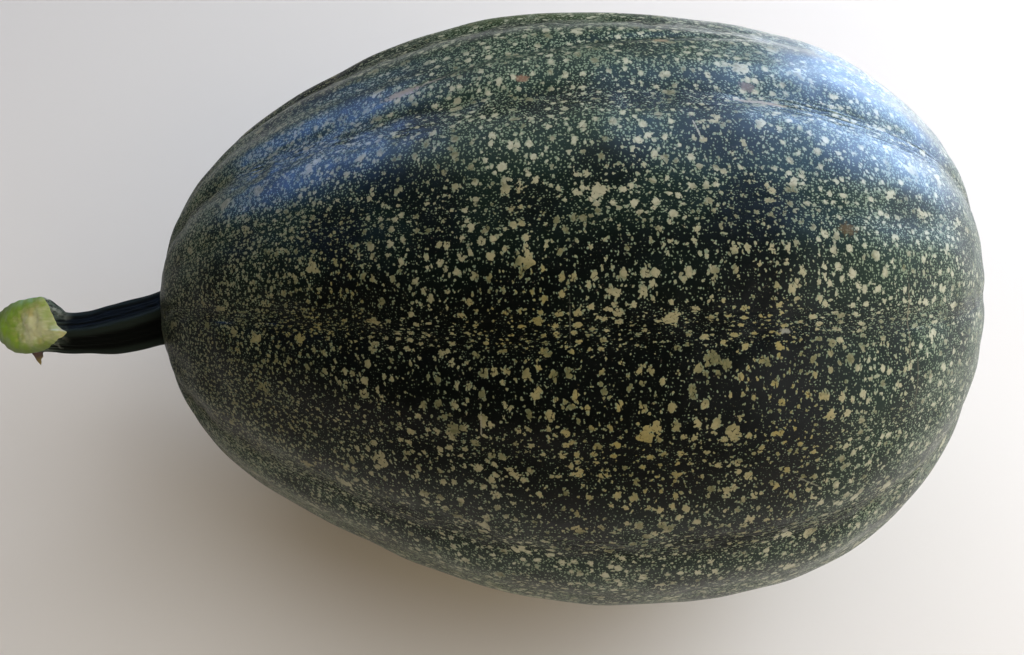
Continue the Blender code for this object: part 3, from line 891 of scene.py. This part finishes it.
tip = node(
    tree, "MapRange", along_mm, *TIP_FROM, 0.0, TIP_GREEN, interpolation_type="SMOOTHSTEP"
)
leftward = node(tree, "MapRange", along_mm, *LEFTWARD_FROM, LEAST_LEFTWARD, 1.0)
green = node(tree, "Math", green, leftward, tip, operation="MULTIPLY_ADD")
green = node(tree, "Math", fibres, FIBRE_GREEN, green, operation="MULTIPLY_ADD")
green = node(tree, "MapRange", green, *GREEN_RANGE, interpolation_type="SMOOTHSTEP")
colour = node(tree, "Mix", green, colour, linear(FLESH_LIME), data_type="RGBA")
lower = node(tree, "MapRange", height_mm, *MOSSY_BELOW, interpolation_type="SMOOTHSTEP")
mossy = node(
    tree, "MapRange", rim_near, *MOSSY_RIM, 0.0, MOST_MOSSY, interpolation_type="SMOOTHSTEP"
)
mossy = node(tree, "Math", mossy, lower, operation="MULTIPLY")
colour = node(tree, "Mix", mossy, colour, linear(FLESH_MOSS), data_type="RGBA")
tree.links.new(colour, shader.inputs["Base Color"])
shader.inputs["Roughness"].default_value = FLESH_ROUGHNESS
shader.inputs["Subsurface Weight"].default_value = FLESH_SCATTER
shader.inputs["Subsurface Radius"].default_value = FLESH_DEPTH
shader.inputs["Subsurface Scale"].default_value = FLESH_DEPTH_SCALE
rough = node(tree, "TexNoise", place_mm, 1 / ROUGH_LENGTH, 3.0)
height = node(tree, "Math", fibres, FIBRE_HEIGHT, rough, operation="MULTIPLY_ADD")
bump = node(tree, "Bump", FLESH_BUMP)
bump.node.inputs["Distance"].default_value = MM
tree.links.new(height, bump.node.inputs["Height"])
tree.links.new(bump, shader.inputs["Normal"])
stalk.data.materials.append(flesh)

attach(stalk, "root")
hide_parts("stem")

# The torn sliver
# A strip of the stalk's skin that tore instead of being cut. It hangs from the lower edge of
# the cut and has dried brown.

SLIVER_ROOT = (-174.6 * MM, -3.0 * MM, AXIS_HEIGHT - 14.5 * MM)
SLIVER_TIP = (-175.0 * MM, -7.0 * MM, AXIS_HEIGHT - 20.3 * MM)
SLIVER_WIDTH = 4.8 * MM
SLIVER_WIDTH_DIRECTION = (0.75, 0.0, -0.66)
SLIVER_THICKNESS_DIRECTION = (0.1, -0.95, 0.3)
SLIVER_THICKNESS_SHARE = 0.32
SLIVER_TAPER = 1.6
SLIVER_LAST_RING = 0.985
SLIVER_CURL = 0.8 * MM
SLIVER_RAGGEDNESS = 0.12  # its edges wave in and out by this share of its width
SLIVER_WAVES = 17.0
SLIVER_ROWS = 26
SLIVER_COLUMNS = 28

# A flat cone: rings along a curled line, with a half width that falls to nothing at the tip.
rows = np.linspace(0.0, SLIVER_LAST_RING, SLIVER_ROWS)[:, None]
around = np.linspace(0.0, 2 * np.pi, SLIVER_COLUMNS, endpoint=False)
root, tip = np.array(SLIVER_ROOT), np.array(SLIVER_TIP)
spine = root + (tip - root) * rows
spine[:, 0] -= SLIVER_CURL * np.sin(np.pi * rows[:, 0])
ragged = 1.0 + SLIVER_RAGGEDNESS * np.sin(SLIVER_WAVES * rows)
half_width = SLIVER_WIDTH / 2 * (1.0 - rows**SLIVER_TAPER) * ragged
flat = np.cos(around)[:, None] * np.array(SLIVER_WIDTH_DIRECTION)
thick = np.sin(around)[:, None] * np.array(SLIVER_THICKNESS_DIRECTION) * SLIVER_THICKNESS_SHARE
rings = spine[:, None, :] + half_width[:, None] * (flat - thick)
sliver, corner_row, corner_column = closed_grid("torn_sliver", np.clip(rings, low, high), root, tip)
shape = bmesh.new()
shape.from_mesh(sliver.data)
bmesh.ops.recalc_face_normals(shape, faces=shape.faces)
shape.to_mesh(sliver.data)
shape.free()

# Dried skin: thin, brown and matt, with an olive tip. The eye sees fine creases along it.
DRIED_DARK = "#332629"
DRIED_BROWN = "#56433c"
DRIED_OLIVE = "#7c7038"
# sizes and heights in mm
MOTTLE_LENGTH = 1.8
OLIVE_BELOW = (71.0, 68.0)
SKIN_CREASE_LENGTH = 0.8
SKIN_CREASE_DEPTH = 0.3
DRIED_ROUGHNESS = 0.6

dried, tree, shader = new_material("dried_stalk_skin")
place = node(tree, "TexCoord", output="Object")
place_mm = node(tree, "VectorMath", place, 1 / MM, operation="SCALE")
height_mm = node(tree, "SeparateXYZ", place_mm, output="Z")
mottled = node(tree, "TexNoise", place_mm, 1 / MOTTLE_LENGTH, 3.0)
mottled = node(tree, "MapRange", mottled, 0.35, 0.65, interpolation_type="SMOOTHSTEP")
colour = node(tree, "Mix", mottled, linear(DRIED_DARK), linear(DRIED_BROWN), data_type="RGBA")
tip_share = node(tree, "MapRange", height_mm, *OLIVE_BELOW, interpolation_type="SMOOTHSTEP")
colour = node(tree, "Mix", tip_share, colour, linear(DRIED_OLIVE), data_type="RGBA")
tree.links.new(colour, shader.inputs["Base Color"])
shader.inputs["Roughness"].default_value = DRIED_ROUGHNESS
creases = node(tree, "TexNoise", place_mm, 1 / SKIN_CREASE_LENGTH, 3.0)
bump = node(tree, "Bump")
bump.node.inputs["Distance"].default_value = SKIN_CREASE_DEPTH * MM
tree.links.new(creases, bump.node.inputs["Height"])
tree.links.new(bump, shader.inputs["Normal"])
sliver.data.materials.append(dried)
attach(sliver, "root")
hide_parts("stem")

# The floor and the light
# A plain matt tabletop, nearly white, in a room with a window behind it on the right. The window
# gives cool light, and the walls and the room give a little warm light.

FLOOR_SIZE = 8.0
FLOOR_COLOUR = "#e6e4e1"
FLOOR_ROUGHNESS = 0.85


def plane(name, size):
    """A square in the ground's plane."""
    half = size / 2
    mesh = bpy.data.meshes.new(name)
    corners = [(-half, -half, 0), (half, -half, 0), (half, half, 0), (-half, half, 0)]
    mesh.from_pydata(corners, [], [(0, 1, 2, 3)])
    made = bpy.data.objects.new(name, mesh)
    bpy.context.collection.objects.link(made)
    return made


floor = plane("floor", FLOOR_SIZE)
# Matt painted board: the eye sees an even, nearly white ground with soft shadows.
board, tree, shader = new_material("matt_pale_tabletop")
shader.inputs["Base Color"].default_value = linear(FLOOR_COLOUR)
shader.inputs["Roughness"].default_value = FLOOR_ROUGHNESS
floor.data.materials.append(board)
floor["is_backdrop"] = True


# Lamps: name, azimuth from +Y towards +X and elevation in degrees, distance from the fruit's
# middle, width and height in metres, power in watts and colour. The first group lights the
# surfaces and the second shows only in the gloss, as a window and pale walls do.
LIGHTING = (
    ("window light", 60, 20, 1.05, 0.9, 0.6, 9.0, "#f4f7ff"),
    ("left window light", -30, 45, 1.4, 1.0, 0.8, 1.0, "#f4f5ff"),
    ("right window light", 99, 50, 1.05, 0.9, 0.9, 5.8, "#f4f8ff"),
    ("light from above", 0, 75, 1.5, 1.5, 1.5, 8.0, "#fffcf7"),
    ("warm light from the room", 150, 30, 1.4, 1.0, 0.8, 8.4, "#ffe4bd"),
)
GLOSS = (
    ("window sheen", 47, 6, 1.05, 0.8, 0.9, 29.0, "#a9cbff"),
    ("back wall sheen", -4, 42, 1.2, 1.6, 1.2, 8.0, "#dfeaf0"),
    ("sky sheen", 42, 42, 1.1, 0.9, 0.7, 10.0, "#94baff"),
    ("left sky sheen", -46, 20, 1.3, 0.7, 0.35, 7.0, "#7fabff"),
    ("right wall sheen", 108, 20, 1.1, 1.9, 1.0, 9.5, "#eef0f2"),
)
TABLETOP_LAMP = ("window light on the tabletop", 35, 80, 0.4, 0.35, 0.45, 3.5, "#f4f8ff")
TABLETOP_TARGET = (0.40, 0.52, 0.0)
TABLETOP_SPREAD = math.radians(32.0)
FRUIT_MIDDLE = (0.0, 0.0, AXIS_HEIGHT)


def lamp(name, azimuth, elevation, distance, width, height, power, colour, target=FRUIT_MIDDLE):
    """A rectangular lamp that stands off its target at an azimuth and elevation, and faces it."""
    light = bpy.data.lights.new(name, "AREA")
    light.shape = "RECTANGLE"
    light.size, light.size_y = width, height
    light.energy = power
    light.color = linear(colour)[:3]
    made = bpy.data.objects.new(name, light)
    turned, raised = math.radians(azimuth), math.radians(elevation)
    level = Vector((math.sin(turned), math.cos(turned), 0.0)) * math.cos(raised)
    away = level + Vector((0.0, 0.0, math.sin(raised)))
    made.location = Vector(target) + away * distance
    made.rotation_euler = away.to_track_quat("Z", "Y").to_euler()
    bpy.context.collection.objects.link(made)
    return made


for row in LIGHTING:
    lamp(*row).visible_glossy = False
for row in GLOSS:
    lamp(*row).visible_diffuse = False
on_tabletop = lamp(*TABLETOP_LAMP, target=TABLETOP_TARGET)
on_tabletop.data.spread = TABLETOP_SPREAD
on_tabletop.visible_glossy = False

ROOM_COLOUR = "#e9e6e0"
ROOM_BRIGHTNESS = 0.03
world = bpy.data.worlds.new("pale room")
world.use_nodes = True
world.node_tree.nodes["Background"].inputs["Color"].default_value = linear(ROOM_COLOUR)
world.node_tree.nodes["Background"].inputs["Strength"].default_value = ROOM_BRIGHTNESS
bpy.context.scene.world = world
bpy.context.scene.view_settings.view_transform = "Standard"

# The camera looks down at the fruit's front from its blossom half.

CAMERA_ELEVATION = math.radians(55.0)
CAMERA_DISTANCE = 332.1 * MM
CAMERA_SIDE = -20.3 * MM
CAMERA_RISE = -6.2 * MM
CAMERA_ROLL = math.radians(0.46)
FOCAL_PIXELS = 1050.0
IMAGE_WIDTH = 1024

lens = bpy.data.cameras.new("camera")
lens.sensor_width = 36.0
lens.lens = FOCAL_PIXELS / IMAGE_WIDTH * lens.sensor_width
camera = bpy.data.objects.new("camera", lens)
back = Vector((0.0, -math.cos(CAMERA_ELEVATION), math.sin(CAMERA_ELEVATION)))
rise = Vector((0.0, math.sin(CAMERA_ELEVATION), math.cos(CAMERA_ELEVATION)))
side = Vector((1.0, 0.0, 0.0))
right = side * math.cos(CAMERA_ROLL) - rise * math.sin(CAMERA_ROLL)
above = side * math.sin(CAMERA_ROLL) + rise * math.cos(CAMERA_ROLL)
stand = Vector((0.0, 0.0, AXIS_HEIGHT)) + side * CAMERA_SIDE + rise * CAMERA_RISE
turned = Matrix((right, above, back)).transposed().to_4x4()
camera.matrix_world = Matrix.Translation(stand + back * CAMERA_DISTANCE) @ turned
bpy.context.collection.objects.link(camera)
bpy.context.scene.camera = camera

low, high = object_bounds()
